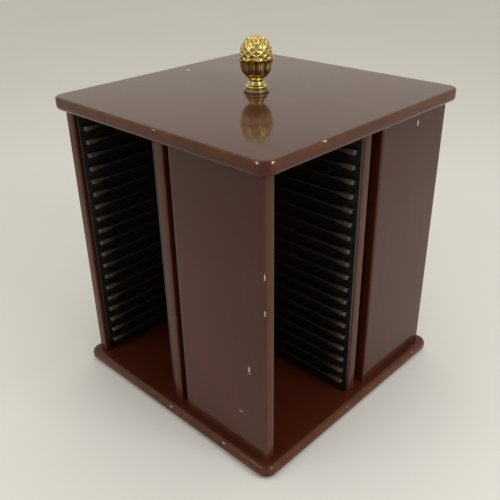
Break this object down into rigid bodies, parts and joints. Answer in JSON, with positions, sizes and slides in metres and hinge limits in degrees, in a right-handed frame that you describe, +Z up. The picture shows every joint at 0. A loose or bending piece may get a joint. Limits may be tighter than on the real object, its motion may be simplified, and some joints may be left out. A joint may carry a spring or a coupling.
{
  "type": "rotating media tower",
  "caption": "Square mahogany-coloured tower that turns on a recessed swivel, with slot racks for disc cases in an opening on every side and a brass acorn finial.",
  "frame": {"origin": "on the floor under the middle of the tower, which is on the swivel's axis", "axes": "+Z up along the swivel's axis, -Y out of the front face, +X out of the right face"},
  "size_m": [0.327, 0.327, 0.4211],
  "materials": {
    "mahogany": "high-gloss lacquer",
    "rack_plastic": "moulded, semi-gloss",
    "brass": "polished",
    "zinc_steel": "zinc plated",
    "beech": "plain",
    "rubber": "matt"
  },
  "bodies": {
    "foot": {"bearing_lower_plate": "zinc_steel", "bearing_rivet": "zinc_steel", "foot_front": "rubber", "foot_right": "rubber", "foot_back": "rubber", "foot_left": "rubber"},
    "tower": {"base_board": "mahogany", "top_board": "mahogany", "side_panel_front": "mahogany", "divider_front": "mahogany", "rack_front_left": "rack_plastic", "rack_front_right": "rack_plastic", "base_screw_front_1": "zinc_steel", "top_dowel_front_1": "beech", "base_screw_front_2": "zinc_steel", "top_dowel_front_2": "beech", "base_screw_front_3": "zinc_steel", "top_dowel_front_3": "beech", "bearing_screw_front": "zinc_steel", "side_panel_right": "mahogany", "divider_right": "mahogany", "rack_right_left": "rack_plastic", "rack_right_right": "rack_plastic", "base_screw_right_1": "zinc_steel", "top_dowel_right_1": "beech", "base_screw_right_2": "zinc_steel", "top_dowel_right_2": "beech", "base_screw_right_3": "zinc_steel", "top_dowel_right_3": "beech", "bearing_screw_right": "zinc_steel", "side_panel_back": "mahogany", "divider_back": "mahogany", "rack_back_left": "rack_plastic", "rack_back_right": "rack_plastic", "base_screw_back_1": "zinc_steel", "top_dowel_back_1": "beech", "base_screw_back_2": "zinc_steel", "top_dowel_back_2": "beech", "base_screw_back_3": "zinc_steel", "top_dowel_back_3": "beech", "bearing_screw_back": "zinc_steel", "side_panel_left": "mahogany", "divider_left": "mahogany", "rack_left_left": "rack_plastic", "rack_left_right": "rack_plastic", "base_screw_left_1": "zinc_steel", "top_dowel_left_1": "beech", "base_screw_left_2": "zinc_steel", "top_dowel_left_2": "beech", "base_screw_left_3": "zinc_steel", "top_dowel_left_3": "beech", "bearing_screw_left": "zinc_steel", "bearing_upper_plate": "zinc_steel", "finial_plinth": "brass", "finial": "brass", "finial_stud": "zinc_steel"},
    "ball_ring": {"ball_ring": "zinc_steel"}
  },
  "joints": [
    {"name": "tower_spin", "type": "hinge", "parent": "foot", "child": "tower", "pos_m": [0, 0, 0.0068], "axis": [0, 0, 1], "continuous": true},
    {"name": "cage_turn", "type": "hinge", "parent": "foot", "child": "ball_ring", "pos_m": [0, 0, 0.0068], "axis": [0, 0, 1], "continuous": true}
  ],
  "couplings": [
    {"joint": "cage_turn", "follows": "tower_spin", "ratio": 0.5}
  ]
}
